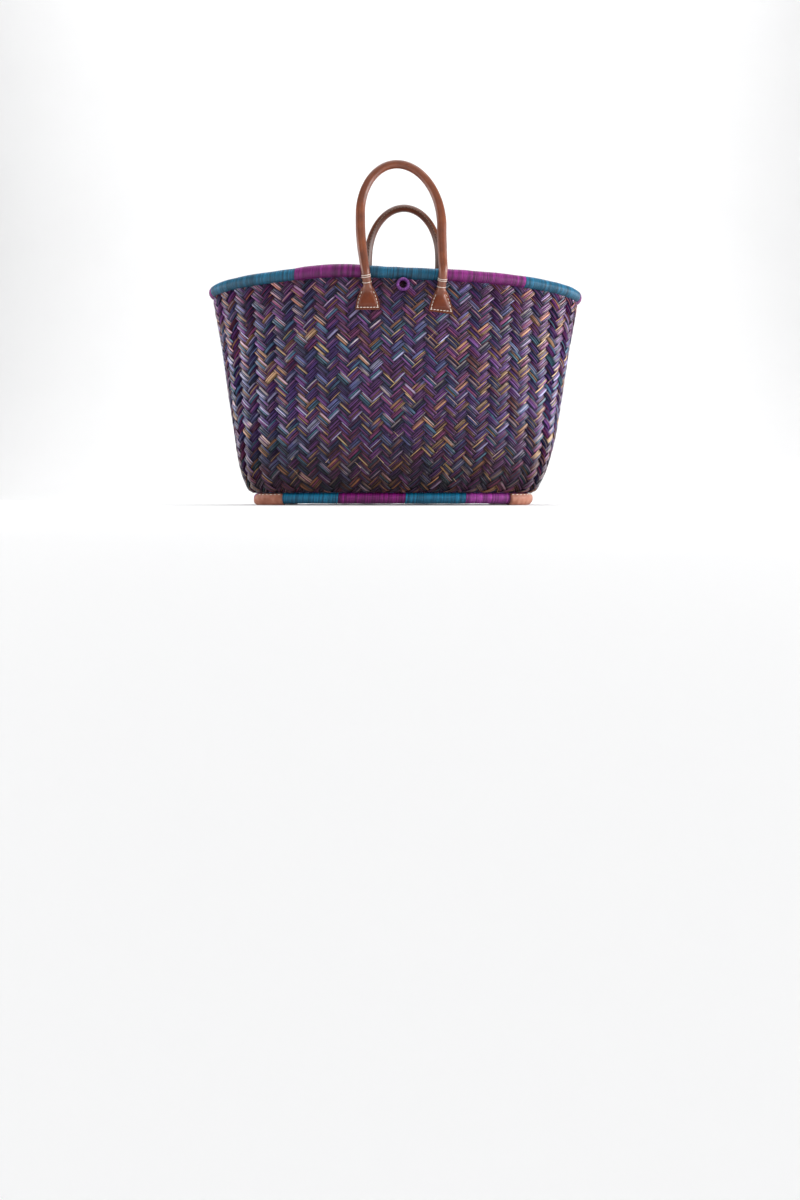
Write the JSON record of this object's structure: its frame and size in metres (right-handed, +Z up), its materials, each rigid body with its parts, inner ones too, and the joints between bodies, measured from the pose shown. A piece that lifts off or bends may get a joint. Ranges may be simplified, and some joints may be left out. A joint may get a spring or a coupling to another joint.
{
  "type": "straw basket bag",
  "caption": "Open oval basket bag plaited from dyed straw, with a raffia-bound rim and foot ring, leather corners, rolled leather handles and a wrapped closure ring.",
  "frame": {"origin": "on the ground under the middle of the bag, at the centre of its bounding box", "axes": "+X along the width of the bag, to the right seen from the front; +Y towards the back; +Z up, out of the mouth"},
  "size_m": [0.499, 0.2342, 0.4322],
  "materials": {
    "straw": "plaited dyed straw, satin",
    "teal_raffia": "wound raffia, satin",
    "magenta_raffia": "wound raffia, satin",
    "orchid_raffia": "wound raffia, satin",
    "handle_leather": "smooth brown leather",
    "corner_leather": "matt tan leather"
  },
  "bodies": {
    "root": {"basket_body": "straw", "basket_bottom": "straw", "rim_wrap_01": "teal_raffia", "rim_wrap_02": "magenta_raffia", "rim_wrap_03": "teal_raffia", "rim_wrap_04": "magenta_raffia", "rim_wrap_05": "teal_raffia", "rim_wrap_06": "magenta_raffia", "rim_wrap_07": "teal_raffia", "rim_wrap_08": "magenta_raffia", "rim_wrap_09": "teal_raffia", "rim_wrap_10": "magenta_raffia", "rim_wrap_11": "teal_raffia", "rim_wrap_12": "magenta_raffia", "foot_wrap_01": "teal_raffia", "foot_wrap_02": "magenta_raffia", "foot_wrap_03": "teal_raffia", "foot_wrap_04": "orchid_raffia", "foot_wrap_05": "magenta_raffia", "foot_wrap_06": "teal_raffia", "foot_wrap_07": "magenta_raffia", "foot_wrap_08": "teal_raffia", "foot_wrap_09": "orchid_raffia", "foot_wrap_10": "magenta_raffia", "corner_cap_1": "corner_leather", "corner_cap_2": "corner_leather", "corner_cap_3": "corner_leather", "corner_cap_4": "corner_leather", "handle_front": "handle_leather", "handle_back": "handle_leather", "closure_ring": "magenta_raffia"}
  },
  "joints": []
}
